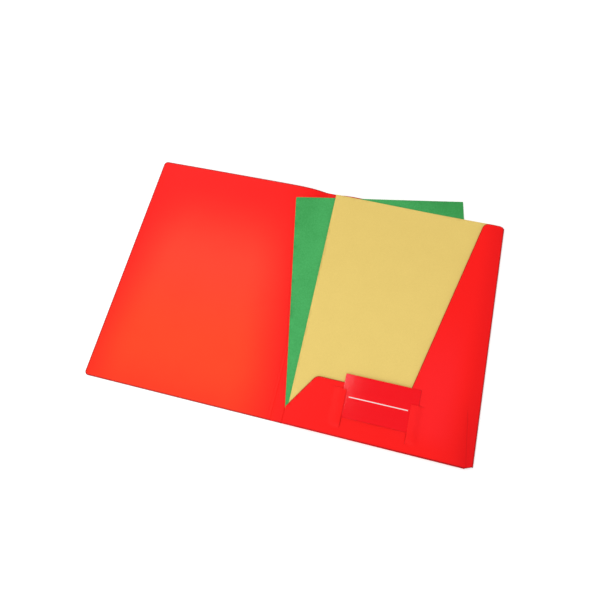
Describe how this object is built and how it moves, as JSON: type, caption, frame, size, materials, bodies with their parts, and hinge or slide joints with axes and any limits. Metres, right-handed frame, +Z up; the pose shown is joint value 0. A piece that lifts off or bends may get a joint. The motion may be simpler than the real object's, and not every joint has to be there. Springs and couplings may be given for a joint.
{
  "type": "presentation folder",
  "caption": "Open A4 presentation folder of creased red plastic, with an L-shaped pocket that holds loose sheets and slits that hold a business card.",
  "frame": {"origin": "middle of the back cover's underside, which lies on the table", "axes": "+X to the right across the open covers, +Y from the lower edge to the upper edge, +Z up out of the inside of the folder"},
  "size_m": [0.467, 0.3328, 0.0046],
  "materials": {
    "red_plastic": "satin",
    "green_card": "matte",
    "yellow_paper": "matte",
    "red_card": "gloss"
  },
  "bodies": {
    "back": {"back_cover": "red_plastic", "bottom_fold": "red_plastic", "bottom_tab": "red_plastic", "side_fold": "red_plastic", "pocket_front": "red_plastic", "card_tongue_left": "red_plastic", "card_tongue_right": "red_plastic"},
    "spine": {"spine_strip": "red_plastic"},
    "front": {"front_cover": "red_plastic"},
    "divider": {"divider_sheet": "green_card"},
    "paper": {"paper_sheet": "yellow_paper"},
    "card": {"business_card": "red_card"}
  },
  "joints": [
    {"name": "spine_fold", "type": "hinge", "parent": "back", "child": "spine", "pos_m": [-0.1095, 0, 0.0005], "axis": [0, 1, 0], "range_deg": [0, 90], "deforming": ["divider_sheet"]},
    {"name": "cover_fold", "type": "hinge", "parent": "spine", "child": "front", "pos_m": [-0.1235, 0, 0.0005], "axis": [0, 1, 0], "range_deg": [0, 90]},
    {"name": "divider_slide", "type": "slide", "parent": "back", "child": "divider", "axis": [-0.1949, 0.9808, 0], "range_m": [0, 0.32]},
    {"name": "paper_slide", "type": "slide", "parent": "back", "child": "paper", "axis": [-0.0105, 0.9999, 0], "range_m": [0, 0.335]},
    {"name": "card_slide", "type": "slide", "parent": "back", "child": "card", "axis": [-0.0079, 1, 0], "range_m": [0, 0.06]}
  ],
  "couplings": [
    {"joint": "cover_fold", "follows": "spine_fold", "ratio": 1}
  ]
}
